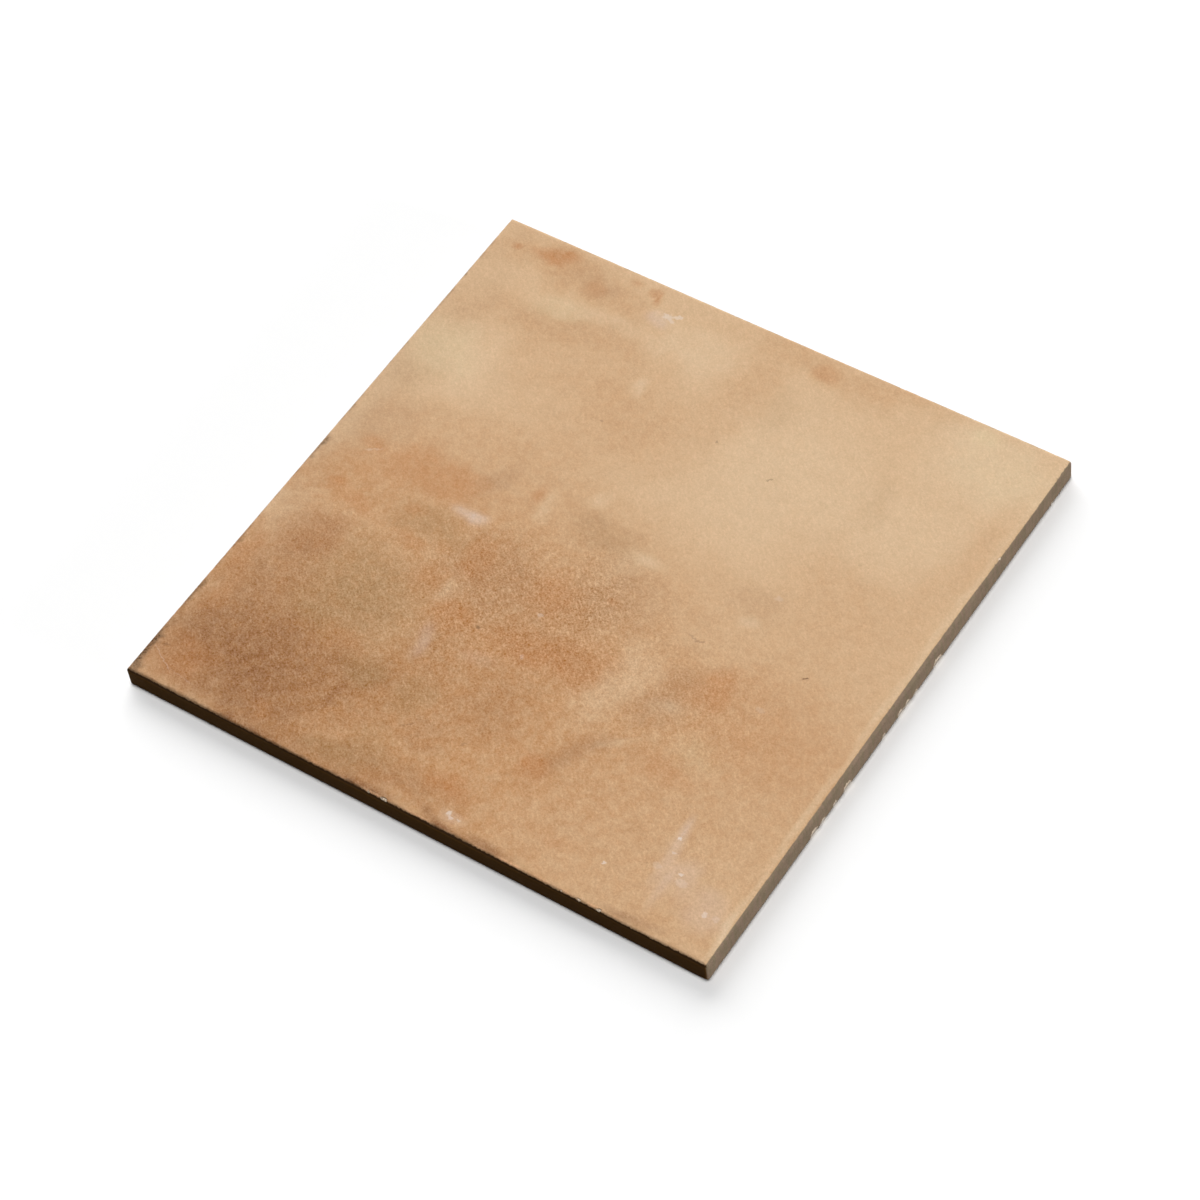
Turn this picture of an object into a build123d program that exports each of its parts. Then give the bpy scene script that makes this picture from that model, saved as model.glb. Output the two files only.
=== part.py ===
from build123d import *
from math import cos, pi
import os

# Square porcelain tile in an old terracotta look, dry-pressed and fired in one piece.
# Sizes are in millimetres and angles in degrees.
# The tile lies face up, with its back on Z = 0 and its middle on the Z axis.
# Its front edge runs along X and its right edge along Y.

# Body, as the walls of the die shape it
side = 200.0
thickness = 7.5
corner_radius = 0.8
back_edge_break = 0.4

# Face edge: the upper punch leans the sides in over the crown and leaves a soft arris
crown_height = 1.3
crown_set_in = 0.6
arris_radius = 0.8
face_corner_radius = 1.0

# Each edge of the face strays from its straight line in one long wave, the swell.
# A swell's height is measured outward from the line, and its crest is a place along the edge.
front_swell = 0.12
front_swell_length = 135.0
front_crest = 72.0
right_swell = 0.26
right_swell_length = 180.0
right_crest = 86.0
rear_swell = 0.04
rear_swell_length = 150.0
rear_crest = 60.0
left_swell = 0.03
left_swell_length = 170.0
left_crest = 70.0

# A short ripple rides on the two edges that the punch has worn most
front_ripple = 0.05
right_ripple = 0.04
ripple_length = 38.0

# The waves die away towards the corners, and a knot of the edge's curve lies about every few millimetres
fade_length = 14.0
knot_spacing = 7.0

# Keyed back: inside a plain border, a grid of shallow drafted recesses that the bedding adhesive grips.
# Their spacing is drawn out a little so that whole recesses fill the field.
back_border = 10.0
key_spacing = 15.0
key_rib = 2.5
key_corner_cut = 1.2
key_depth = 0.8
key_draft = 25.0


def stray(along, reach, swell, swell_length, crest, ripple):
    """How far an edge lies outside its straight line at a place along it."""
    room = min((reach - abs(along)) / fade_length, 1.0)
    fade = room * room * (3.0 - 2.0 * room)
    long_wave = swell * cos(2.0 * pi * (along - crest) / swell_length)
    short_wave = ripple * cos(2.0 * pi * along / ripple_length)
    return fade * (long_wave + short_wave)


def face_edge(half, reach, turn, *wave):
    """One edge of the face: a smooth curve that starts and ends along its straight line."""
    knots = max(2, round(2.0 * reach / knot_spacing))
    places = [reach * (2.0 * knot / knots - 1.0) for knot in range(knots + 1)]
    points = [(along, -half - stray(along, reach, *wave)) for along in places]
    return Spline(*points, tangents=[(1, 0), (1, 0)]).rotate(Axis.Z, turn)


def face_corner(reach, turn):
    """The rounded corner between one edge of the face and the next."""
    arc = CenterArc((reach, -reach), face_corner_radius, -90, 90)
    return arc.rotate(Axis.Z, turn)


def face_outline():
    """The wavy outline of the face before its arris is rounded."""
    half = side / 2.0 - crown_set_in
    reach = half - face_corner_radius
    waves = [
        (front_swell, front_swell_length, front_crest, front_ripple),
        (right_swell, right_swell_length, right_crest, right_ripple),
        (rear_swell, rear_swell_length, rear_crest, 0.0),
        (left_swell, left_swell_length, left_crest, 0.0),
    ]
    edges = []
    for quarter, wave in enumerate(waves):
        edges.append(face_edge(half, reach, 90.0 * quarter, *wave))
        edges.append(face_corner(reach, 90.0 * quarter))
    return Face(Wire(edges))


def blank():
    """The pressed body: straight die walls, and the crown leaning in to the rounded arris."""
    die = RectangleRounded(side, side, corner_radius)
    shoulder = thickness - crown_height
    body = extrude(die, amount=shoulder)
    body = chamfer(body.faces().sort_by(Axis.Z)[0].edges(), back_edge_break)
    lower = Pos(0, 0, shoulder) * die
    upper = Pos(0, 0, thickness) * face_outline()
    crown = loft([lower.face(), upper], ruled=True)
    crown = fillet(crown.faces().sort_by(Axis.Z)[-1].edges(), arris_radius)
    return body + crown


def keys():
    """The recesses of the back, an even number each way so that ribs cross in the middle."""
    field = side - 2.0 * back_border
    count = 2 * round((field + key_rib) / (2.0 * key_spacing))
    pitch = (field + key_rib) / count
    square = Rectangle(pitch - key_rib, pitch - key_rib)
    mouth = chamfer(square.vertices(), key_corner_cut)
    recess = extrude(mouth, amount=key_depth, taper=key_draft)
    return [place * recess for place in GridLocations(pitch, pitch, count, count)]


tile = blank() - keys()

os.makedirs("parts", exist_ok=True)
export_step(tile, "parts/tile.step")
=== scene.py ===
from math import atan2, cos, pi, radians, sin, sqrt, tan

import bpy
import numpy as np
from mathutils import Matrix, Vector, noise


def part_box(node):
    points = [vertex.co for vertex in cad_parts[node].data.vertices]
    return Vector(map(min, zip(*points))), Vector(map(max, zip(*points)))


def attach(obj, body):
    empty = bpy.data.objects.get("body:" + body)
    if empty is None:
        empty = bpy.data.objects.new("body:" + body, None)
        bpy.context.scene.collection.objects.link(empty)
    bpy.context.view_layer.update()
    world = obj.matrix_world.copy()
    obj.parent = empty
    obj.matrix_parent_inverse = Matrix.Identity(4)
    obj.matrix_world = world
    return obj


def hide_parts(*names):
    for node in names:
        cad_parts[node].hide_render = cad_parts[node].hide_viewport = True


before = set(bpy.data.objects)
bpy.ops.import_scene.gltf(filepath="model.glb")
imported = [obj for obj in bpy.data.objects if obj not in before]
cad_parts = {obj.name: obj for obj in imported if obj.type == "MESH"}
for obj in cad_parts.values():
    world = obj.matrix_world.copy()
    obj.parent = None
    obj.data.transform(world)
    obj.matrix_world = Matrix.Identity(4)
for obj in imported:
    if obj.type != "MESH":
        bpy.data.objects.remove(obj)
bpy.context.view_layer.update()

# The tile.
# One piece of porcelain clay, dry-pressed between two punches in a square die, decorated and fired.
# The face carries a mottled, matt terracotta finish. The sides and the back show the bare body.
MM = 0.001
tile_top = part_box("tile")[1]
half_side = tile_top.x / MM
face_height = tile_top.z / MM

# The tile's edge, as the die and the punches leave it
crown_height = 1.3
crown_set_in = 0.6
arris_radius = 0.8
die_corner_radius = 0.8
sharpest_corner = 0.15
back_edge_break = 0.4

# How far each edge of the face strays from its line:
# height, length and crest of the swell, and height of the ripple
edge_waves = {
    "front": (0.12, 135.0, 72.0, 0.05),
    "right": (0.26, 180.0, 86.0, 0.04),
    "rear": (0.04, 150.0, 60.0, 0.0),
    "left": (0.03, 170.0, 70.0, 0.0),
}
ripple_length = 38.0
fade_length = 14.0

# The mesh has fine steps along the edges, where the chips are, and coarser ones over the face
# and the back. Narrow faces stitch the one kind to the other.
coarse_steps = 168
fine_per_coarse = 3
fine_steps = coarse_steps * fine_per_coarse
corner_steps = 4
arris_steps = 5
stitch = 0.5

# Rings of points round the tile: one is half way down the crown, with this share of the stray,
# and these are down the sides
half_crown_stray = 0.4
side_rings = (5.2, 4.2, 3.2, 2.3, 1.6, 1.1, 0.7)


def ease(value):
    """A smooth step from 0 to 1."""
    value = max(0.0, min(1.0, value))
    return value * value * (3.0 - 2.0 * value)


def stray(edge, along, reach):
    """How far an edge of the face lies outside its straight line, in millimetres."""
    swell, swell_length, crest, ripple = edge_waves[edge]
    fade = ease((reach - abs(along)) / fade_length)
    long_wave = swell * cos(2.0 * pi * (along - crest) / swell_length)
    return fade * (long_wave + ripple * cos(2.0 * pi * along / ripple_length))


def edge_profile():
    """The tile's edge in section, from the face down: inset, height and share of the stray."""
    lean = atan2(crown_height, crown_set_in)
    start = crown_set_in + arris_radius * tan(lean / 2.0)
    rows = []
    for step in range(arris_steps + 1):
        turn = lean * step / arris_steps
        inset = start - arris_radius * sin(turn)
        rows.append((inset, face_height - arris_radius * (1.0 - cos(turn)), 1.0))
    inset, height, _ = rows[-1]
    shoulder = face_height - crown_height
    rows.append((inset / 2.0, (height + shoulder) / 2.0, half_crown_stray))
    for height in (shoulder, *side_rings, back_edge_break):
        rows.append((0.0, height, 0.0))
    rows.append((back_edge_break / 2.0, back_edge_break / 2.0, 0.0))
    rows.append((back_edge_break, 0.0, 0.0))
    return rows


# Small chips knocked off the arrises: edge, place along it, which arris, length, reach and depth
chips = [
    ("front", -13.2, "face", 1.2, 0.55, 0.12),
    ("front", -7.8, "face", 2.8, 0.8, 0.3),
    ("front", 52.2, "face", 1.2, 0.5, 0.12),
    ("front", 58.2, "face", 1.9, 0.6, 0.25),
    ("front", 64.7, "face", 2.3, 0.7, 0.25),
    ("right", 58.3, "face", 1.4, 0.6, 0.25),
    ("right", 88.0, "back", 1.2, 0.8, 0.2),
    ("right", 22.3, "back", 5.0, 2.3, 0.35),
    ("right", 10.0, "back", 2.4, 1.3, 0.2),
    ("right", 5.6, "back", 3.0, 1.6, 0.3),
    ("right", 1.7, "back", 3.8, 1.9, 0.3),
    ("right", -7.4, "back", 2.2, 1.4, 0.25),
    ("right", -27.2, "back", 4.6, 2.3, 0.35),
    ("right", -33.8, "back", 2.2, 1.7, 0.3),
    ("right", -40.2, "back", 3.0, 1.4, 0.25),
    ("right", -45.0, "back", 4.4, 2.0, 0.35),
    ("left", 36.0, "back", 3.0, 1.0, 0.3),
    ("rear", -22.0, "back", 2.4, 0.9, 0.3),
    ("rear", 61.0, "back", 1.6, 0.8, 0.25),
]

# A chip has a ragged outline, with about this many jags to the millimetre. Just inside it the
# chip is at its full depth and its clay is fresh.
chip_raggedness = 0.5
chip_jags = 1.9
chip_inset_share = 0.7
chip_steepness = 2.0
chip_freshness = 6.0

# A chip off the face's arris cuts in by a share of its depth, and leaves a ledge that looks up.
# A chip off the back's arris bites upwards too, as far as it reaches.
chip_cut_in = 0.4
chip_ledge = 0.4
chip_bite_up = 0.3
back_arris_reach = 1.3


def chip_bite(edge, along, height, inset):
    """How deep the chips bite at a place on the edge, and how fresh the broken clay is there."""
    bite, fresh = 0.0, 0.0
    for chipped, place, arris, length, reach, depth in chips:
        if chipped != edge or abs(along - place) > length:
            continue
        jag = noise.noise(Vector((along * chip_jags, height * chip_jags, place)))
        drop = face_height - height if arris == "face" else height
        across = sqrt(drop * drop + (inset * chip_inset_share) ** 2) / reach
        near = 1.0 - (2.0 * (along - place) / length) ** 2 - across * across + chip_raggedness * jag
        if near > 0.0:
            bite = max(bite, depth * min(1.0, chip_steepness * near))
            fresh = max(fresh, min(1.0, chip_freshness * near))
    return bite, fresh


# Sliding out of the die scores the sides, and handling wears grains off the arris: how deep,
# and the noise's scale along the edge, from edge to edge and upwards, and its smoothness
score_depth = 0.05
score_noise = (0.45, 31.7, 0.25, 1.0)
grain_depth = 0.12
grain_least = 0.15
grain_noise = (1.1, 17.3, 0.9, 0.8)


def edge_noise(along, quarter, height, settings):
    """Noise that runs along an edge and isn't the same on any two."""
    long_scale, edge_step, upright_scale, smoothness = settings
    place = Vector((along * long_scale, quarter * edge_step, height * upright_scale))
    return noise.fractal(place, smoothness, 2.0, 3)


def edge_point(edge, quarter, fine_step, row):
    """A point of the tile's edge, in millimetres, and how fresh the clay is there."""
    inset, height, share = row
    radius = max(die_corner_radius - inset, sharpest_corner)
    reach = half_side - inset - radius
    along = reach * (2.0 * min(fine_step, fine_steps) / fine_steps - 1.0)
    out = half_side - inset + share * stray(edge, along, reach)
    scored = 0.5 + 0.5 * edge_noise(along, quarter, height, score_noise)
    out -= score_depth * max(0.0, min(1.0, scored))
    if share > 0.0:
        knocked = edge_noise(along, quarter, height, grain_noise)
        out -= grain_depth * max(0.0, knocked - grain_least)
    bite, fresh = chip_bite(edge, along, height, inset)
    if share > 0.0:
        out -= chip_cut_in * bite
        height += fresh * min(0.0, face_height - chip_ledge - height)
    else:
        out -= bite
    if 0.0 < height < back_arris_reach:
        height += chip_bite_up * bite
    x, y = along, -out
    if fine_step > fine_steps:
        turn = radians(90.0) * (fine_step - fine_steps) / corner_steps
        x = reach + radius * sin(turn)
        y = -(out - radius) - radius * cos(turn)
    for _ in range(quarter):
        x, y = -y, x
    return (x, y, height), fresh


# The keyed back: a plain border round a grid of shallow drafted recesses
back_border = 10.0
key_count = 12
key_rib = 2.5
key_corner_cut = 1.2
key_depth = 0.8
key_draft = 25.0
key_pitch = (2.0 * (half_side - back_border) + key_rib) / key_count
key_field = key_pitch * key_count / 2.0

# Mesh lines over half a recess, from the middle of its rib, and steps over the border.
# Over the whole back they come to as many steps as the face has.
key_lines = (0.0, 0.95, 1.25, 1.45, 1.7, 2.9, 5.6)
border_steps = 6


def back_lines():
    """Where the back's mesh lines run, close together at the walls of the recesses."""
    outer = half_side - back_edge_break - stitch
    margin = outer - key_field
    lines = [-outer + margin * step / border_steps for step in range(border_steps)]
    for key in range(key_count):
        start = -key_field + key * key_pitch
        lines += [start + step for step in key_lines]
        lines += [start + key_pitch - step for step in reversed(key_lines[1:])]
    lines += [key_field + margin * step / border_steps for step in range(border_steps + 1)]
    return lines


def recess_height(x, y):
    """How far the back is hollowed at a place, in millimetres."""
    if max(abs(x), abs(y)) > key_field:
        return 0.0
    inside = []
    for place in (x, y):
        from_rib = (place + key_field) % key_pitch
        inside.append(min(from_rib, key_pitch - from_rib) - key_rib / 2.0)
    inside.append((inside[0] + inside[1] - key_corner_cut) / sqrt(2.0))
    return max(0.0, min(key_depth, min(inside) / tan(radians(key_draft))))


# The worn punch lets the face roll off towards its edges: depth at each edge, the least share of
# it, the least width and what comes on top, and the noise's scale, step from edge to edge and layer
roll_depths = {"front": 0.05, "right": 0.08, "rear": 0.05, "left": 0.08}
roll_least_share = 0.4
roll_width = 1.6
roll_widening = 2.2
roll_noise = (0.045, 9.1, 1.7)

# The pressed face isn't dead flat. It lies low by a few hundredths of a millimetre and dips in
# broad and in close hollows: how deep, and the noise's scale, layer and octaves.
face_dip = 0.05
broad_dip = 0.03
broad_noise = (0.025, 3.1, 3)
close_dip = 0.012
close_noise = (0.16, 7.7, 2)


def edge_places(x, y):
    """A place as each edge has it: how far along the edge, and how far across from the middle."""
    return {"front": (x, y), "right": (y, -x), "rear": (-x, -y), "left": (-y, x)}


def roll_off(x, y):
    """How far the face has sunk towards its edges."""
    scale, edge_step, layer = roll_noise
    sunk = 0.0
    for quarter, (edge, (along, across)) in enumerate(edge_places(x, y).items()):
        uneven = 0.5 + 0.5 * noise.noise(Vector((along * scale, quarter * edge_step, layer)))
        width = roll_width + roll_widening * uneven
        near = ease(1.0 - (half_side + across) / width)
        sunk += roll_depths[edge] * (roll_least_share + uneven) * near
    return sunk


def hollows(x, y, scale, layer, octaves):
    """Smooth noise over the face, from -1 to 1."""
    value = noise.fractal(Vector((x * scale, y * scale, layer)), 1.0, 2.0, octaves)
    return max(-1.0, min(1.0, value))


def face_relief(x, y):
    """How far the face lies above its full height: a small negative number, in millimetres."""
    broad = broad_dip * hollows(x, y, *broad_noise)
    close = close_dip * hollows(x, y, *close_noise)
    return -face_dip - broad - close - roll_off(x, y)


# One edge of a ring with the corner after it, and a whole ring, in points
edge_length = fine_steps + corner_steps
ring_length = edge_length * len(edge_waves)


def tile_points(profile):
    """The points, from the face down the edge to the back, and how fresh the clay is at each.

    The last two numbers are those of the first point of the edge and of the back.
    """
    points, fresh = [], []
    reach = half_side - profile[0][0] - stitch
    lines = [reach * (2.0 * step / coarse_steps - 1.0) for step in range(coarse_steps + 1)]
    for y in lines:
        for x in lines:
            points.append((x, y, face_height + face_relief(x, y)))
            fresh.append(0.0)
    first_ring = len(points)
    for row in profile:
        for quarter, edge in enumerate(edge_waves):
            for fine_step in range(edge_length):
                (x, y, z), chipped = edge_point(edge, quarter, fine_step, row)
                points.append((x, y, z + row[2] * face_relief(x, y)))
                fresh.append(chipped)
    first_back = len(points)
    lines = back_lines()
    for y in lines:
        for x in lines:
            points.append((x, y, recess_height(x, y)))
            fresh.append(0.0)
    return points, fresh, first_ring, first_back


def grid_vertex(column, row):
    """The number of a point in a grid, counted from the grid's first point."""
    return row * (coarse_steps + 1) + column


def border_walk():
    """The grid's border vertices, counter-clockwise from its front left corner."""
    n = coarse_steps
    walk = [grid_vertex(i, 0) for i in range(n)]
    walk += [grid_vertex(n, i) for i in range(n)]
    walk += [grid_vertex(n - i, n) for i in range(n)]
    walk += [grid_vertex(0, n - i) for i in range(n)]
    return walk


def stitches(first_fine, first_coarse):
    """The narrow faces between one ring of the edge and the border of one grid."""
    walk = [first_coarse + vertex for vertex in border_walk()]
    patches = []
    for quarter in range(len(edge_waves)):
        for step in range(coarse_steps):
            near = walk[quarter * coarse_steps + step]
            after = walk[(quarter * coarse_steps + step + 1) % len(walk)]
            base = quarter * edge_length + step * fine_per_coarse
            fine = [first_fine + (base + k) % ring_length for k in range(fine_per_coarse + 1)]
            patches.append((near, fine[0], fine[1]))
            patches.append((near, fine[1], fine[2], after))
            patches.append((after, fine[2], fine[3]))
        corner = walk[((quarter + 1) * coarse_steps) % len(walk)]
        base = quarter * edge_length + fine_steps
        for step in range(corner_steps):
            after = first_fine + (base + step + 1) % ring_length
            patches.append((corner, first_fine + base + step, after))
    return patches


def tile_faces(rings, first_ring, first_back):
    """The faces of one closed skin: the face and the back, the edge, and the stitches."""
    faces = []
    for row in range(coarse_steps):
        for column in range(coarse_steps):
            corners = (
                grid_vertex(column, row),
                grid_vertex(column + 1, row),
                grid_vertex(column + 1, row + 1),
                grid_vertex(column, row + 1),
            )
            faces.append(corners)
            faces.append(tuple(first_back + corner for corner in reversed(corners)))
    for level in range(rings - 1):
        upper = first_ring + level * ring_length
        lower = upper + ring_length
        for step in range(ring_length):
            after = (step + 1) % ring_length
            faces.append((upper + step, lower + step, lower + after, upper + after))
    last_ring = first_ring + (rings - 1) * ring_length
    faces += stitches(first_ring, 0)
    faces += [tuple(reversed(patch)) for patch in stitches(last_ring, first_back)]
    return faces


# The finish. Mineral washes lie on the sandy face in soft clouds: x and y of the middle,
# half length, half width, turn in degrees and strength. Lengths are in millimetres, and a cloud
# fades through its outline.
# Together the washes also leave the face darker towards the front left and lighter towards the rear
# right, partly a painted fall of light
washes = {
    "warm": [
        (0, 0, 200, 200, 0, 0.1),
        (0, -64, 120, 48, 0, 0.55),
        (-66, -62, 46, 42, 0, 0.56),
        (-14, -66, 46, 34, 0, 0.5),
        (-50, -94, 60, 12, 0, 0.3),
        (-62, -8, 40, 14, 0, 0.54),
        (-46, 15, 50, 13, 0, 0.35),
        (10, 5, 50, 10, 0, 0.2),
        (-46, 30, 26, 8, 0, 0.2),
        (-60, 68, 34, 9, 6, 0.34),
        (-24, 50, 22, 14, 0, 0.35),
        (-70, 90, 26, 8, 0, 0.4),
        (2, 76, 8, 20, 0, 0.27),
        (-10, -14, 40, 16, 0, 0.4),
        (66, -26, 44, 20, 0, 0.34),
        (0, -94, 40, 7, 0, 0.4),
        (88, -92, 16, 9, 0, 0.25),
        (-60, 50, 14, 10, 0, 0.15),
        (-90, -12, 12, 14, 0, 0.4),
        (80, 10, 22, 20, 0, 0.2),
        (64, 26, 16, 14, 0, 0.15),
        (93, 48, 6, 20, 0, 0.2),
        (28, 95, 34, 6, 0, 0.3),
        (-40, 84, 14, 4, 0, 0.3),
        (20, -60, 30, 20, 0, 0.2),
    ],
    "pale": [
        (-82, 47, 14, 15, 0, 0.25),
        (-18, 83, 12, 8, 0, 0.3),
        (-48, 78, 26, 5, 6, 0.22),
        (82, 86, 18, 14, 0, 0.45),
        (30, 54, 26, 24, 0, 0.3),
        (74, 52, 18, 18, 0, 0.25),
        (-96, 16, 4, 24, 0, 0.15),
        (-95, -4, 5, 7, 0, 0.2),
        (-94, -28, 6, 12, 0, 0.22),
        (27.5, -35, 7.5, 13, -8, 0.3),
        (45, -34, 5, 2.4, 35, 0.4),
        (38, -52, 5, 1.4, 40, 0.3),
        (-26, 61, 2.2, 3.6, 0, 0.4),
        (-13, 19, 3, 4, 0, 0.3),
        (-25, 9, 2.2, 6, 12, 0.28),
        (12, 6, 4, 2.4, 0, 0.35),
        (48, 3, 3, 2, 0, 0.3),
        (8, 2, 6, 5, 0, 0.18),
        # This strip and the one two lines down lie along the right arris, partly wear and partly a
        # painted highlight
        (98.2, -10, 0.9, 88, 0, 0.4),
        (88, -80, 10, 16, 0, 0.08),
        (98.4, -88, 1.3, 10, 0, 0.5),
        (-35, -31, 3, 4, -30, 0.3),
        (-46, -50, 10, 10, 0, 0.12),
    ],
    "lime": [
        (-90, 46, 8, 9, 0, 0.2),
        (86, 85, 11, 11, 0, 0.1),
        (75, 95, 4, 3, 0, 0.2),
        (62, -44, 8, 6, 0, 0.1),
        (-66, 76, 8, 4, 0, 0.15),
    ],
    "umber": [
        # A long strip along the left edge, painted shade
        (-94, 20, 8, 66, 0, 0.12),
        (-78, -82, 34, 22, 0, 0.22),
        (-69, -75, 22, 12, -4, 0.45),
        (-74, -88, 22, 10, 0, 0.4),
        (-50, -92, 30, 7, 0, 0.1),
        (-47, -79, 9, 10, 0, 0.2),
        (-28, -74, 12, 9, 0, 0.2),
        (-27, -52, 9, 13, 0, 0.2),
        (-20, -26, 22, 12, 0, 0.16),
        (-72, -64, 28, 18, 0, 0.2),
        (-80.5, -35, 8, 8, 0, 0.42),
        (-86, -52, 12, 12, 0, 0.25),
        (-40, -64, 10, 6, 0, 0.34),
        (-41.5, -77, 1.5, 5, 0, 0.35),
        (9, -12, 12, 10, 0, 0.2),
        (-28, -17, 12, 9, 0, 0.15),
        (5, -35, 14, 7, 0, 0.15),
        (43, -26, 6, 9, -10, 0.18),
        (42, -37, 7, 5, 0, 0.2),
        (31, -61, 4, 12, -35, 0.27),
        (-3, 6.5, 10, 6, -15, 0.12),
        (-42, 13, 4, 8, -30, 0.22),
        (-62, 70, 24, 5, 6, 0.06),
        (-57, 92, 2.5, 3, 0, 0.12),
        (-64, 91, 9, 5, 0, 0.13),
        (45, 8, 9, 5, 0, 0.12),
        (-3, -58, 15, 12, 0, 0.2),
        (-16, -93, 24, 6, 0, 0.3),
        (-60, -96, 30, 4, 0, 0.2),
        (-8, -77, 7, 6, 0, 0.2),
        (-84, 14, 9, 8, 0, 0.12),
        (-92, -80, 8, 14, 0, 0.28),
        # These narrow strips along the front arris are partly painted shade, where the face rolls
        # off towards the front
        (-16, -98.8, 9, 1.3, 0, 0.6),
        (7, -97.6, 5, 1.3, -16, 0.5),
        (13, -98.9, 3.4, 1.2, -8, 0.7),
        (27, -98.0, 8, 1.4, 0, 0.6),
        (73, -97.6, 9, 1.5, 0, 0.42),
        (-55, -98.6, 10, 1.2, 0, 0.4),
    ],
    "olive": [
        (-58, -43, 15, 15, 0, 0.55),
        (-52, -13, 13, 5, 0, 0.4),
        (-61, -58, 7, 4, 0, 0.35),
        (-39, -64, 6, 4.5, 0, 0.5),
        (-20, -66, 7, 8, 0, 0.4),
        (-22, -87, 8, 6, 0, 0.3),
        (-32, -93, 9, 3.5, 0, 0.4),
        (-3, 6.5, 10, 6, -15, 0.22),
        (-90, 32, 6, 5, 0, 0.15),
        (60, 58, 4, 10, 0, 0.15),
        (14, 72, 5, 8, 0, 0.15),
        (-44, -48, 12, 14, 0, 0.14),
    ],
    "rust": [
        (-79.5, 92.0, 5.2, 3.0, 0, 0.6),
        (-74, 95, 3, 1.5, 10, 0.5),
        (-91, 90.5, 1.3, 1.1, 0, 0.6),
        (-61, 89, 3.4, 2.4, 0, 0.22),
        (-41, 94.5, 1.3, 2.8, 20, 0.6),
        (-44, 95.5, 1.2, 1.6, 0, 0.4),
        (-50, 96.5, 2, 1.2, 0, 0.3),
        (20, 93, 4, 3, 0, 0.34),
        (-64, 2, 18, 7, 6, 0.36),
        (-50, 6, 7, 3.5, 0, 0.2),
        (-84, 5, 4, 2.6, 0, 0.35),
        (-85, -14, 3, 3.4, 0, 0.35),
        (-80, -35, 8, 7, 0, 0.16),
        (-77, -18, 5, 3, -30, 0.3),
        (-60, -11, 3, 1.5, 0, 0.3),
        (-54, -21, 5, 2, -10, 0.28),
        (-43, -30, 5, 5, 0, 0.25),
        (-29, 12, 1.7, 3.4, -8, 0.38),
        (-28, -36, 6, 5, 0, 0.36),
        (-6, -37, 12, 7, 0, 0.3),
        (9, -33, 14, 8, 0, 0.32),
        (-7, -17, 9, 6, 0, 0.35),
        (-32, -17, 5, 6, 0, 0.3),
        (10.5, -10.5, 1.4, 1.2, 0, 0.3),
        (53, -20, 5.5, 8, -16, 0.36),
        (60, -24, 24, 12, 0, 0.12),
        (84, -28, 18, 16, 0, 0.1),
        (57, -54, 9, 4, 0, 0.25),
        (24, -69, 5.0, 4.4, 20, 0.45),
        (6, -88, 7, 3.4, 0, 0.42),
        (42, -87, 4, 1.8, 0, 0.22),
        (-96, -48, 4, 9, 0, 0.3),
        (-89, -90, 10, 7, 20, 0.34),
        (-56, -90, 3, 3, 0, 0.2),
        (-50, -60, 9, 4, 0, 0.2),
        (-93, -66, 4, 8, 0, 0.2),
        (93, 55, 4, 10, 0, 0.04),
    ],
    "chalk": [
        (-45.5, -4.2, 4.6, 1.7, -6, 0.25),
        (-40.5, -4.4, 3.4, 2.0, 8, 0.26),
        (-30.8, -46, 2.2, 3.6, 6, 0.12),
        (-29.8, -51, 2.0, 3.8, -6, 0.12),
        (-13, -46, 5, 2.4, 0, 0.06),
        (78, -79, 4, 6, 0, 0.14),
        (90, -86, 8, 5, 0, 0.13),
        (71.4, -66.5, 1.2, 4.5, 2, 0.2),
        (72, -76, 1.8, 8, 0, 0.16),
        (75, -84, 1.4, 7, 0, 0.12),
        (13, -95, 3.4, 1.6, 0, 0.14),
        (-36, 87, 5, 3, 0, 0.2),
    ],
}

# Where the brush has worked the finish most, its grain stands out: the same six numbers
brushwork = [
    (-12, -24, 34, 21, 0, 0.55),
    (6, -14, 9, 11, 0, 0.6),
    (-55, -60, 50, 40, 0, 0.32),
    (42, -30, 30, 20, 0, 0.3),
    (0, -70, 110, 34, 0, 0.15),
]

# Soot and spent glaze, dark along the arrises, and painted shade where an arris turns from the
# light:
# edge, place along it, half length, width on the face and strength
soot_and_shade = [
    ("front", -16, 8, 0.9, 0.5),
    ("front", 13, 4, 0.8, 0.5),
    ("front", -40, 14, 0.6, 0.4),
    ("front", -78, 22, 0.9, 0.4),
    ("left", 5, 5, 1.6, 0.6),
    ("left", 46, 7, 1.2, 0.5),
    ("left", 68, 6, 1.8, 0.65),
    ("left", 91, 9, 2.8, 0.85),
    ("left", 97, 5, 3.0, 0.5),
    ("left", -14, 4, 1.1, 0.5),
    ("left", -65, 9, 1.0, 0.35),
    ("left", -80, 4, 0.9, 0.3),
    ("left", 0, 110, 0.6, 0.5),
    ("rear", 0, 110, 0.5, 0.4),
]

# Swirls push the clouds about, so that none keeps a clean outline: their size and their push,
# in millimetres. Marks with a half width under the drifting size drift less.
swirls = ((30.0, 7.0), (9.0, 4.0), (3.2, 1.8))
drifting_size = 6.0
# Without a seed, noise_vector starts from the clock, and each run drifts another way
swirl_seed = 1
noise.seed_set(swirl_seed)

# Where a cloud ends and how long its fade is, in shares of its half length and half width
cloud_end = 1.7
cloud_fade = 1.4


def drift(x, y):
    """Where smooth noise pushes a place."""
    for size, push in swirls:
        swirl = noise.noise_vector(Vector((x / size, y / size, size)))
        x += push * swirl.x
        y += push * swirl.y
    return x, y


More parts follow.
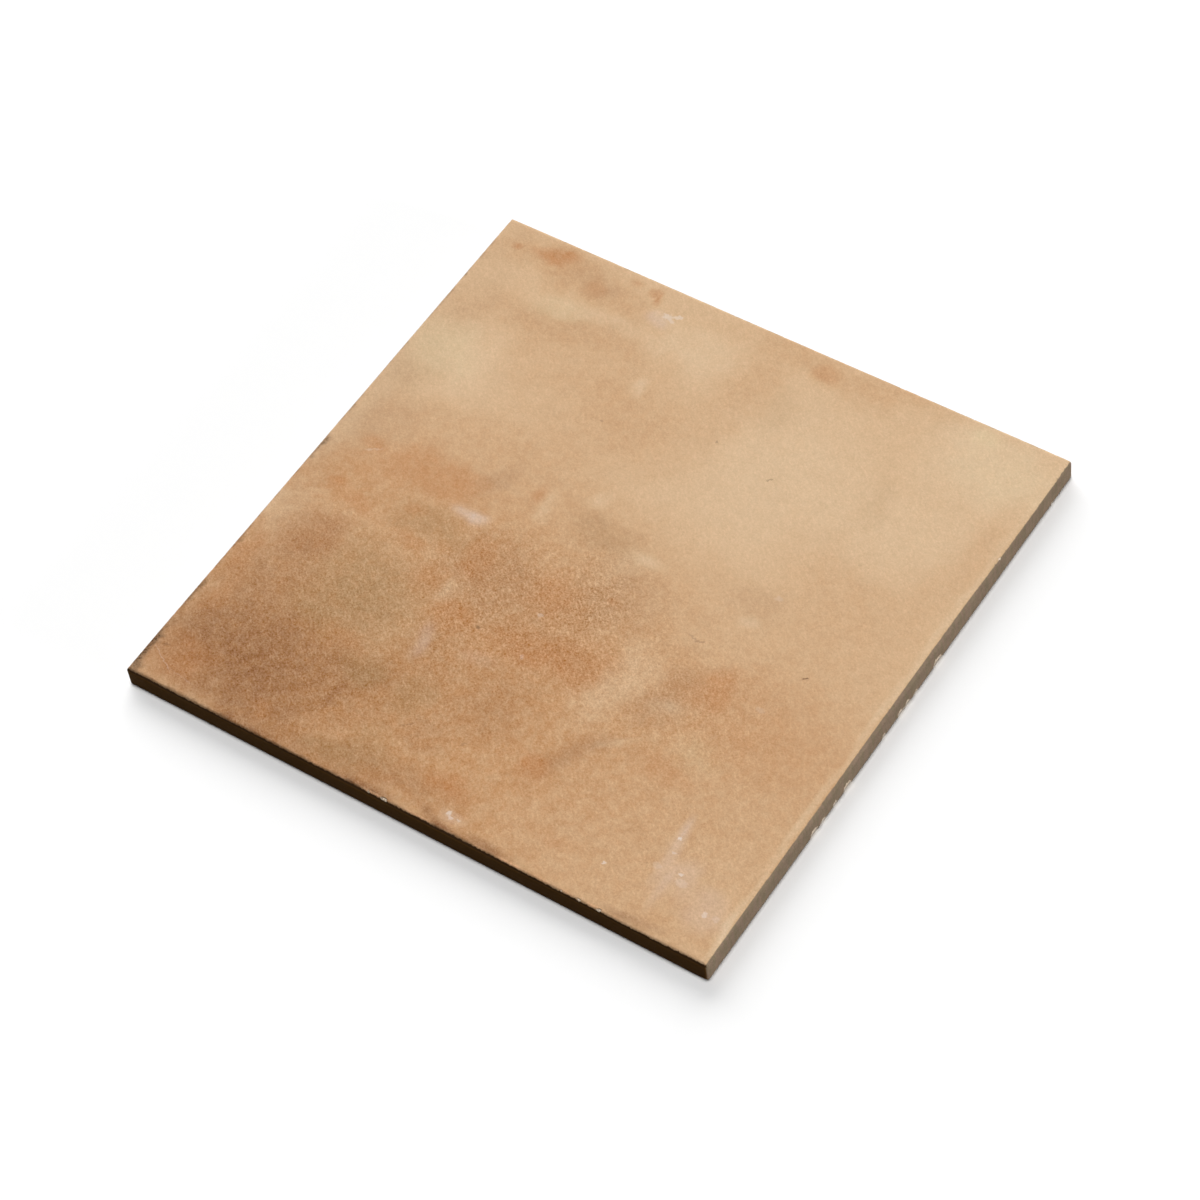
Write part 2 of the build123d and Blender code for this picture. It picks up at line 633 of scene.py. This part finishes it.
def wash_amounts(drifted, steady, patches):
    """How thickly one wash lies at each point, from 0 to 1."""
    bare = np.ones(len(steady))
    for x, y, length, width, turn, strength in patches:
        loose = min(1.0, min(length, width) / drifting_size)
        across = steady[:, 0] + loose * (drifted[:, 0] - steady[:, 0]) - x
        up = steady[:, 1] + loose * (drifted[:, 1] - steady[:, 1]) - y
        c, s = cos(radians(turn)), sin(radians(turn))
        distance = np.hypot((c * across + s * up) / length, (c * up - s * across) / width)
        fade = np.clip((cloud_end - distance) / cloud_fade, 0.0, 1.0)
        bare *= 1.0 - strength * fade * fade * (3.0 - 2.0 * fade)
    return 1.0 - bare


# A patch of soot and painted shade has a ragged edge: share of its width and scale of the noise, in
# long waves and in short ones. It begins a lap inside the die's wall, in millimetres. It fades over
# a share of its width, and ends at the last two shares, of its width and of its half length.
soot_and_shade_long_waves = (0.9, 0.21)
soot_and_shade_short_waves = (0.5, 0.8)
soot_and_shade_lap = 0.4
soot_and_shade_fade = 0.6
soot_and_shade_widest = 2.0
soot_and_shade_longest = 1.5


def soot_and_shade_amount(x, y):
    """How much soot and painted shade lies at a place near the arris."""
    places = edge_places(x, y)
    long_raggedness, long_scale = soot_and_shade_long_waves
    short_raggedness, short_scale = soot_and_shade_short_waves
    amount = 0.0
    for edge, place, length, width, strength in soot_and_shade:
        along, across = places[edge]
        inward = half_side + across
        away = abs(along - place)
        if inward > soot_and_shade_widest * width or away > soot_and_shade_longest * length:
            continue
        ragged = 1.0 + long_raggedness * noise.noise(Vector((along * long_scale, place, 0.0)))
        near_by = Vector((along * short_scale, across * short_scale, place))
        ragged += short_raggedness * noise.noise(near_by)
        deep = ease((width * ragged + soot_and_shade_lap - inward) / (soot_and_shade_fade * width))
        amount = max(amount, strength * deep * ease(soot_and_shade_longest - away / length))
    return amount


# On the right the finish stops short of the side by this much, in millimetres. It stops further
# short in the front half and in the middle, and its edge wavers.
bared_width = 0.3
bared_more_in_front = 0.3
bared_front_from = 70.0
bared_front_fade = 35.0
bared_more_in_middle = 0.22
bared_middle_reach = 80.0
bared_waver = 0.08
bared_waver_scale = 0.9
bared_edge = 0.14


def bared_amount(x, y):
    """How far the finish is missing at a place on the right arris."""
    limit = bared_width + bared_more_in_front * ease((bared_front_from - y) / bared_front_fade)
    limit += bared_more_in_middle * ease(1.0 - abs(y) / bared_middle_reach)
    limit += bared_waver * noise.noise(Vector((x, y * bared_waver_scale, 2.3)))
    return ease(0.5 + (limit - (half_side - x)) / bared_edge)


# Handling has rubbed the front arris pale in patches, and a painted highlight lies along it: how
# far in from the side and how wide, from where to where along it, and the patches' share, contrast
# and scale
rubbed_highlight_inset = 0.75
rubbed_highlight_half_width = 0.4
rubbed_highlight_core = 1.2
rubbed_highlight_from = -40.0
rubbed_highlight_to = 75.0
rubbed_highlight_fade = 15.0
rubbed_highlight_share = 0.55
rubbed_highlight_contrast = 1.6
rubbed_highlight_scale = 0.13


def rubbed_highlight_amount(x, y):
    """How pale the front arris is at a place, rubbed and with a painted highlight."""
    on_arris = ease(rubbed_highlight_core - abs(half_side + y - rubbed_highlight_inset) / rubbed_highlight_half_width)
    wander = noise.noise(Vector((x * rubbed_highlight_scale, 5.0, 0.0)))
    patch = ease(rubbed_highlight_share + rubbed_highlight_contrast * wander)
    begun = ease((x - rubbed_highlight_from) / rubbed_highlight_fade)
    return on_arris * patch * begun * ease((rubbed_highlight_to - x) / rubbed_highlight_fade)


# Painted shade: the front side is made darker and browner, between its corners and below the face
front_shade_inset = 0.9
front_shade_fade = 0.4
front_shade_from_corner = 0.3
front_shade_below_face = 0.2


def front_shade_amount(x, y, z):
    """How much painted shade darkens and browns the front side at a place."""
    if abs(x) >= half_side - front_shade_from_corner or z >= face_height - front_shade_below_face:
        return 0.0
    return ease((-y - half_side + front_shade_inset) / front_shade_fade)


# The washes, the soot and the painted shade end a little below the crown, and an arris sharper than
# this stays crisp
wash_margin = 0.1
crisp_angle = 38.0


def make_tile():
    """The tile as an object, with the washes and the broken places written on its points."""
    profile = edge_profile()
    points, fresh, first_ring, first_back = tile_points(profile)
    faces = tile_faces(len(profile), first_ring, first_back)
    mesh = bpy.data.meshes.new("tile_body")
    mesh.from_pydata([Vector(point) * MM for point in points], [], faces)
    mesh.validate()

    def write(name, values):
        held = mesh.attributes.new(name, "FLOAT", "POINT")
        held.data.foreach_set("value", np.asarray(values, dtype=np.float32))

    write("fresh_clay", fresh)
    steady = np.array([(x, y) for x, y, _ in points])
    on_top = np.array([z > face_height - crown_height - wash_margin for _, _, z in points])
    drifted = steady.copy()
    for index in np.flatnonzero(on_top):
        drifted[index] = drift(*steady[index])
    for name, patches in washes.items():
        write(name, wash_amounts(drifted, steady, patches) * on_top)
    write("brushwork", wash_amounts(drifted, steady, brushwork) * on_top)
    placed = [(x, y, top) for (x, y, _), top in zip(points, on_top)]
    write("soot_and_shade", [soot_and_shade_amount(x, y) if top else 0.0 for x, y, top in placed])
    write("rubbed_highlight", [rubbed_highlight_amount(x, y) if top else 0.0 for x, y, top in placed])
    write("bared", [bared_amount(x, y) for x, y, _ in points])
    write("front_shade", [front_shade_amount(*point) for point in points])

    mesh.shade_smooth()
    mesh.set_sharp_from_angle(angle=radians(crisp_angle))
    mesh.update()
    made = bpy.data.objects.new("pressed_tile", mesh)
    bpy.context.scene.collection.objects.link(made)
    return made


def srgb(red, green, blue):
    """A colour as it is seen, from 0 to 255, turned into the light that a surface sends back."""
    shades = []
    for value in (red, green, blue):
        value /= 255.0
        shades.append(value / 12.92 if value <= 0.04045 else ((value + 0.055) / 1.055) ** 2.4)
    return (*shades, 1.0)


sand = srgb(210, 178, 142)
wash_colours = {
    "warm": srgb(188, 141, 98),
    "pale": srgb(219, 194, 161),
    "umber": srgb(141, 98, 66),
    "olive": srgb(164, 131, 93),
    "rust": srgb(182, 122, 74),
    "lime": srgb(214, 202, 162),
    "chalk": srgb(224, 213, 206),
}
glint_tint = (1.0, 0.79, 0.575)
mark_brown = srgb(92, 62, 40)
mark_white = srgb(236, 228, 220)
# The soot colour also serves as painted shade along the arrises
soot_and_shade_brown = srgb(76, 53, 36)
# The rubbed tan is partly a painted highlight on the front arris
rubbed_highlight_tan = srgb(250, 196, 150)
body_beige = srgb(139, 119, 101)
body_olive = srgb(131, 116, 95)
body_speck = srgb(90, 75, 59)
body_fresh = srgb(240, 222, 200)
body_torn = srgb(184, 162, 134)
# Painted shade on the front side, darker still on its crown
body_front_shade = srgb(112, 78, 36)
crown_front_shade = srgb(70, 48, 28)

# The brush ran at this angle, in degrees. The finish is matt, wavers this far where it ends,
# in millimetres, and has a relief too fine for the mesh, in metres.
brush_slant = -42.0
finish_sheen = 0.06
finish_waver = 0.15
relief_strength = 0.35
relief_depth = 0.00008

# Marks too small for the mesh: x, y, half length, half width, turn and strength
pale_marks = [
    (-92.5, -91.7, 5.6, 0.18, -31, 0.17),
    (-84.0, -94.3, 5.0, 0.18, -8, 0.09),
    (-83.6, 2.2, 2.6, 0.3, 32, 0.2),
    (-5.0, -24.5, 0.8, 0.6, 0, 0.22),
    (-1.4, -39.5, 0.6, 0.8, 0, 0.18),
    (-34.4, 89.0, 1.6, 1.1, 10, 0.36),
    (-31.4, 90.2, 1.5, 0.7, 30, 0.36),
    (-32.4, 88.0, 1.1, 0.6, -30, 0.26),
    (11.0, -94.2, 0.9, 0.7, 20, 0.5),
    (12.2, -95.2, 0.9, 0.5, -30, 0.35),
    (14.6, -94.9, 0.7, 0.5, 0, 0.32),
    (71.6, -69.0, 0.7, 0.55, 0, 0.6),
    (72.6, -73.6, 0.7, 0.4, 0, 0.3),
    (70.8, -79.4, 1.4, 0.9, 0, 0.14),
    (78.2, -78.4, 0.7, 0.6, 0, 0.5),
    (79.6, -81.0, 1.8, 1.2, 0, 0.16),
    (90.8, -86.4, 0.9, 0.8, 0, 0.4),
    (94.2, -86.0, 1.0, 1.0, 40, 0.15),
    (57.8, -86.0, 0.7, 0.45, 30, 0.5),
    (67.8, -21.2, 1.4, 0.8, 0, 0.12),
    (52.0, 14.5, 1.2, 0.8, 0, 0.12),
]
dark_marks = [
    (73.4, -5.7, 1.0, 0.34, 36, 0.9),
    (37.6, -9.3, 1.7, 0.35, -16, 0.32),
    (40.2, -9.6, 1.5, 0.35, 24, 0.32),
    (26.3, 50.2, 1.0, 0.35, 45, 0.45),
    (5.0, 54.8, 0.6, 0.35, -45, 0.45),
    (66.0, 36.3, 0.5, 0.4, 0, 0.16),
    (-29.5, 45.0, 0.55, 0.5, 0, 0.3),
    (-18.5, -37.0, 0.6, 0.5, 0, 0.6),
    (-94.6, -87.2, 1.2, 0.5, 12, 0.4),
    (-16.6, -75.4, 2.6, 0.25, 44, 0.3),
    (1.2, -73.0, 1.3, 0.3, 48, 0.3),
]

# A small mark fades out a little past its outline and goes right through the clay. Its outline
# sways, by about this in millimetres, and its colour covers this much.
mark_reach = 1.5
mark_through = 1000.0
mark_sway = 1.6
mark_cover = 0.8


def finish_material():
    """The fired finish: washes and grain on the face, bare body on the sides and the back."""
    material = bpy.data.materials.new("fired_porcelain")
    material.use_nodes = True
    tree = material.node_tree
    tree.nodes.clear()

    def lay(kind, inputs=None, **settings):
        """One node with its sockets set or linked."""
        made = tree.nodes.new(kind)
        for name, value in settings.items():
            setattr(made, name, value)
        for name, value in (inputs or {}).items():
            if isinstance(value, bpy.types.NodeSocket):
                tree.links.new(value, made.inputs[name])
            else:
                made.inputs[name].default_value = value
        return made

    def blend(amount, under, over):
        """One colour laid over another."""
        return lay("ShaderNodeMix", {0: amount, 6: under, 7: over}, data_type="RGBA").outputs[2]

    def work(operation, first, second=0.0, third=0.0, clamp=False):
        """A sum with single values."""
        sockets = {0: first, 1: second, 2: third}
        made = lay("ShaderNodeMath", sockets, operation=operation, use_clamp=clamp)
        return made.outputs[0]

    def work_each(operation, first, second):
        """A sum with places or colours, part by part."""
        return lay("ShaderNodeVectorMath", {0: first, 1: second}, operation=operation).outputs[0]

    def scaled(value, amount):
        """A place moved out or in, or a colour made lighter or darker."""
        sockets = {0: value, "Scale": amount}
        return lay("ShaderNodeVectorMath", sockets, operation="SCALE").outputs[0]

    def between(value, start, end, lowest=0.0, highest=1.0):
        """A smooth step from lowest to highest, as the value goes from start to end."""
        sockets = {0: value, 1: start, 2: end, 3: lowest, 4: highest}
        return lay("ShaderNodeMapRange", sockets, interpolation_type="SMOOTHSTEP").outputs[0]

    def mottle(place, size, detail=3.0, rough=0.55, distortion=0.0):
        """Even noise whose patches are about twice size millimetres across."""
        sockets = {
            "Vector": place,
            "Scale": 1.0 / size,
            "Detail": detail,
            "Roughness": rough,
            "Distortion": distortion,
        }
        return lay("ShaderNodeTexNoise", sockets).outputs

    def held(name):
        """What is written on the tile's points under a name."""
        return lay("ShaderNodeAttribute", attribute_name=name).outputs["Fac"]

    # Places on the tile in millimetres
    place = scaled(lay("ShaderNodeTexCoord").outputs["Object"], 1.0 / MM)

    # The washes lie unevenly, each in its own way
    uneven = []
    for size, shift in ((4.0, 0.0), (2.2, 40.0)):
        moved = work_each("ADD", place, (shift, shift, shift))
        colour = mottle(moved, size, detail=5.0, rough=0.8)["Color"]
        parts = lay("ShaderNodeSeparateColor", {0: colour}).outputs
        uneven += [between(part, 0.36, 0.64, 0.77, 1.23) for part in parts]
    face = sand
    for index, name in enumerate(wash_colours):
        amount = work("MULTIPLY", held(name), uneven[index % len(uneven)], clamp=True)
        face = blend(amount, face, wash_colours[name])
    tone = mottle(place, 7.0, detail=6.0, rough=0.92)["Fac"]
    face = scaled(face, between(tone, 0.3, 0.7, 0.965, 1.035))

    # Curly pale fibres of slip, grains and pits between them, and flecks that lie with the brush
    curl = mottle(place, 0.9, detail=1.0, distortion=1.4)["Fac"]
    fibre = between(work("ABSOLUTE", work("SUBTRACT", curl, 0.5)), 0.0, 0.06, 0.75, -0.25)
    grain = mottle(place, 0.55, detail=1.5, rough=0.6)["Fac"]
    pit = mottle(place, 0.75, detail=2.0)["Fac"]
    slant = {
        "Vector": place,
        "Rotation": (0.0, 0.0, radians(brush_slant)),
        "Scale": (3.0, 1.0, 1.0),
    }
    brushed = lay("ShaderNodeMapping", slant, vector_type="TEXTURE").outputs[0]
    fleck = between(mottle(brushed, 0.55, detail=1.0)["Fac"], 0.5, 0.7, -0.3, 0.7)
    light = work("MULTIPLY_ADD", fibre, 0.05, work("MULTIPLY_ADD", grain, 0.3, -0.15))
    light = work("MULTIPLY_ADD", between(pit, 0.54, 0.72), -0.05, light)
    light = work("MULTIPLY_ADD", fleck, 0.06, light)
    light = work("MULTIPLY", light, work("MULTIPLY_ADD", held("brushwork"), 1.3, 0.54))
    face = work_each("ADD", face, scaled(glint_tint, light))

    # Chalky spots, scratches and small pits
    sway = work_each("SUBTRACT", mottle(place, 1.1, detail=1.0)["Color"], (0.5, 0.5, 0.5))
    bent = work_each("ADD", place, scaled(sway, mark_sway))

    def marks(patches):
        """How strongly the small marks show."""
        total = 0.0
        for x, y, length, width, turn, strength in patches:
            sockets = {
                "Vector": bent,
                "Location": (x, y, 0.0),
                "Rotation": (0.0, 0.0, radians(turn)),
                "Scale": (mark_reach * length, mark_reach * width, mark_through),
            }
            moved = lay("ShaderNodeMapping", sockets, vector_type="TEXTURE").outputs[0]
            ball = lay("ShaderNodeTexGradient", {0: moved}, gradient_type="SPHERICAL")
            shown = between(ball.outputs["Fac"], 0.1, 0.55)
            total = work("MULTIPLY_ADD", shown, strength, total)
        return total

    dark_mark = marks(dark_marks)
    pale_mark = marks(pale_marks)
    face = blend(work("MULTIPLY", dark_mark, mark_cover, clamp=True), face, mark_brown)
    face = blend(work("MULTIPLY", pale_mark, mark_cover, clamp=True), face, mark_white)

    # Soot and painted shade, and rubbing with a painted highlight, along the arrises
    sooted_and_shaded = work("MULTIPLY", held("soot_and_shade"), between(pit, 0.3, 0.6, 1.2, 0.7), clamp=True)
    face = blend(sooted_and_shaded, face, soot_and_shade_brown)
    rubbed_highlight = work("MULTIPLY", held("rubbed_highlight"), between(grain, 0.35, 0.6, 0.5, 0.9))
    face = blend(rubbed_highlight, face, rubbed_highlight_tan)

    # The bare body: grey-beige porcelain, scored upright by the die and specked
    scored = work_each("MULTIPLY", place, (1.0, 1.0, 0.15))
    score = mottle(scored, 1.3, detail=3.0)["Fac"]
    body = blend(between(score, 0.38, 0.62), body_olive, body_beige)
    speck = mottle(place, 0.35, detail=2.0)["Fac"]
    body = blend(between(speck, 0.5, 0.72, 0.0, 0.35), body, body_speck)
    body = scaled(body, between(tone, 0.3, 0.7, 0.88, 1.12))

    # Painted shade: the front side is darker and browner, most of all on its crown
    height = lay("ShaderNodeSeparateXYZ", {0: place}).outputs["Z"]
    shoulder = face_height - crown_height
    on_crown = between(height, shoulder, face_height - 0.8 * crown_height)
    body = blend(held("front_shade"), body, blend(on_crown, body_front_shade, crown_front_shade))

    # Broken clay is pale in the chips, and darker where it is torn
    fresh = held("fresh_clay")
    torn = mottle(place, 0.5, detail=3.0, rough=0.7)["Fac"]
    broken = blend(between(torn, 0.46, 0.62), body_fresh, body_torn)
    body = blend(between(work("MULTIPLY_ADD", speck, 0.6, fresh), 0.6, 0.9), body, broken)

    # The finish wraps over the arris and ends unevenly where the sides begin
    ragged = mottle(place, 1.2, detail=2.0)["Fac"]
    lowest, highest = face_height - finish_waver, face_height + finish_waver
    covered = between(work("ADD", height, ragged), lowest, highest)
    covered = work("MULTIPLY", covered, work("SUBTRACT", 1.0, fresh))
    covered = work("MULTIPLY", covered, work("SUBTRACT", 1.0, held("bared")))

    # Relief too fine for the mesh: the grain stands up, and the dark pits go in
    relief = work("MULTIPLY_ADD", curl, 0.8, grain)
    relief = work("MULTIPLY_ADD", tone, 1.5, relief)
    relief = work("MULTIPLY_ADD", dark_mark, -1.0, relief)
    sockets = {"Strength": relief_strength, "Distance": relief_depth, "Height": relief}
    bump = lay("ShaderNodeBump", sockets)
    sockets = {
        "Base Color": blend(covered, body, face),
        "Roughness": between(grain, 0.3, 0.7, 0.7, 0.82),
        "Specular IOR Level": finish_sheen,
        "Normal": bump.outputs[0],
    }
    surface = lay("ShaderNodeBsdfPrincipled", sockets)
    lay("ShaderNodeOutputMaterial", {"Surface": surface.outputs[0]})
    return material


tile = make_tile()
tile.data.materials.append(finish_material())
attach(tile, "root")
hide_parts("tile")

# The floor: a plain pale sheet that the tile lies on, a hair below its back. It isn't part of the
# tile. It shows white and keeps the tile's shadow, and sends little light back up to the sides.
# Its side is in metres, and its drop in millimetres.
floor_size = 6.0
floor_drop = 0.05
floor_sent_on = (0.10, 0.09, 0.08, 1.0)
white = (1.0, 1.0, 1.0, 1.0)

corner = floor_size / 2.0
floor_corners = [
    (-corner, -corner, 0.0),
    (corner, -corner, 0.0),
    (corner, corner, 0.0),
    (-corner, corner, 0.0),
]
floor_mesh = bpy.data.meshes.new("floor_sheet")
floor_mesh.from_pydata(floor_corners, [], [(0, 1, 2, 3)])
floor_sheet = bpy.data.objects.new("floor_sheet", floor_mesh)
floor_sheet.location.z = -floor_drop * MM
bpy.context.scene.collection.objects.link(floor_sheet)


def seen_or_sent_on(tree, seen_colour, sent_on):
    """One colour for what the camera, a mirror or glass shows, and one for the light sent on."""
    path = tree.nodes.new("ShaderNodeLightPath")
    seen = path.outputs["Is Camera Ray"]
    for kind in ("Is Glossy Ray", "Is Transmission Ray"):
        either = tree.nodes.new("ShaderNodeMath")
        either.operation = "MAXIMUM"
        tree.links.new(seen, either.inputs[0])
        tree.links.new(path.outputs[kind], either.inputs[1])
        seen = either.outputs[0]
    tone = tree.nodes.new("ShaderNodeMix")
    tone.data_type = "RGBA"
    tone.inputs[6].default_value = sent_on
    tone.inputs[7].default_value = seen_colour
    tree.links.new(seen, tone.inputs[0])
    return tone.outputs[2]


def floor_material():
    """Plain matt board, white to look at and dark in what it sends on."""
    material = bpy.data.materials.new("pale_floor")
    material.use_nodes = True
    tree = material.node_tree
    tree.nodes.clear()
    matt = tree.nodes.new("ShaderNodeBsdfDiffuse")
    tree.links.new(seen_or_sent_on(tree, white, floor_sent_on), matt.inputs["Color"])
    output = tree.nodes.new("ShaderNodeOutputMaterial")
    tree.links.new(matt.outputs[0], output.inputs["Surface"])
    return material


floor_sheet.data.materials.append(floor_material())

# The camera stands in front of the tile and to its right, and looks down on it.
# Its place is in tile sides from the middle of the tile's back.
camera_place = Vector((2.2111, -2.6022, 4.4720))
camera_azimuth = 40.53
camera_elevation = 52.94
camera_roll = 8.83
lens_pixels = 3842.6
image_pixels = 1200.0
sensor_width = 36.0
nearest_seen = 0.01
furthest_seen = 50.0

azimuth, elevation, roll = map(radians, (camera_azimuth, camera_elevation, camera_roll))
level = cos(elevation)
toward_camera = Vector((sin(azimuth) * level, -cos(azimuth) * level, sin(elevation)))
level_right = Vector((cos(azimuth), sin(azimuth), 0.0))
level_up = toward_camera.cross(level_right)
camera_right = cos(roll) * level_right - sin(roll) * level_up
camera_up = cos(roll) * level_up + sin(roll) * level_right
camera = bpy.data.objects.new("camera", bpy.data.cameras.new("camera"))
camera.data.sensor_width = sensor_width
camera.data.lens = sensor_width * lens_pixels / image_pixels
camera.data.clip_start = nearest_seen
camera.data.clip_end = furthest_seen
stand = Matrix((camera_right, camera_up, toward_camera)).transposed().to_4x4()
stand.translation = camera_place * 2.0 * half_side * MM
camera.matrix_world = stand
bpy.context.scene.collection.objects.link(camera)
bpy.context.scene.camera = camera

# The light: a small soft lamp overhead, a wide one behind the tile and to its left, and a low one
# on its right. Their shares add up to a little over 1, at which a colour shows as it is written
# and the bare floor is white.


def lamp(name, toward, height_angle, spread, level_share):
    """A soft distant lamp that gives the floor its share of the light."""
    lit = bpy.data.lights.new(name, "SUN")
    lit.angle = radians(spread)
    lit.energy = pi * level_share / sin(radians(height_angle))
    made = bpy.data.objects.new(name, lit)
    flat = Vector(toward).normalized() * cos(radians(height_angle))
    direction = Vector((flat.x, flat.y, sin(radians(height_angle))))
    made.rotation_mode = "QUATERNION"
    made.rotation_quaternion = direction.to_track_quat("Z", "Y")
    bpy.context.scene.collection.objects.link(made)


lamp("overhead", (-0.62, 0.79, 0.0), height_angle=88.0, spread=16.0, level_share=0.59)
lamp("behind", (-0.68, 0.73, 0.0), height_angle=16.0, spread=68.0, level_share=0.355)
lamp("right", (1.0, 0.1, 0.0), height_angle=5.0, spread=9.0, level_share=0.065)

# The studio round about shows white, and gives the tile next to no light
studio_sent_on = (0.012, 0.011, 0.010, 1.0)
world = bpy.data.worlds.new("studio")
bpy.context.scene.world = world
world.use_nodes = True
world.node_tree.nodes.clear()
backdrop = world.node_tree.nodes.new("ShaderNodeBackground")
around = seen_or_sent_on(world.node_tree, white, studio_sent_on)
world.node_tree.links.new(around, backdrop.inputs["Color"])
world_out = world.node_tree.nodes.new("ShaderNodeOutputWorld")
world.node_tree.links.new(backdrop.outputs[0], world_out.inputs["Surface"])

bpy.context.scene.view_settings.view_transform = "Standard"
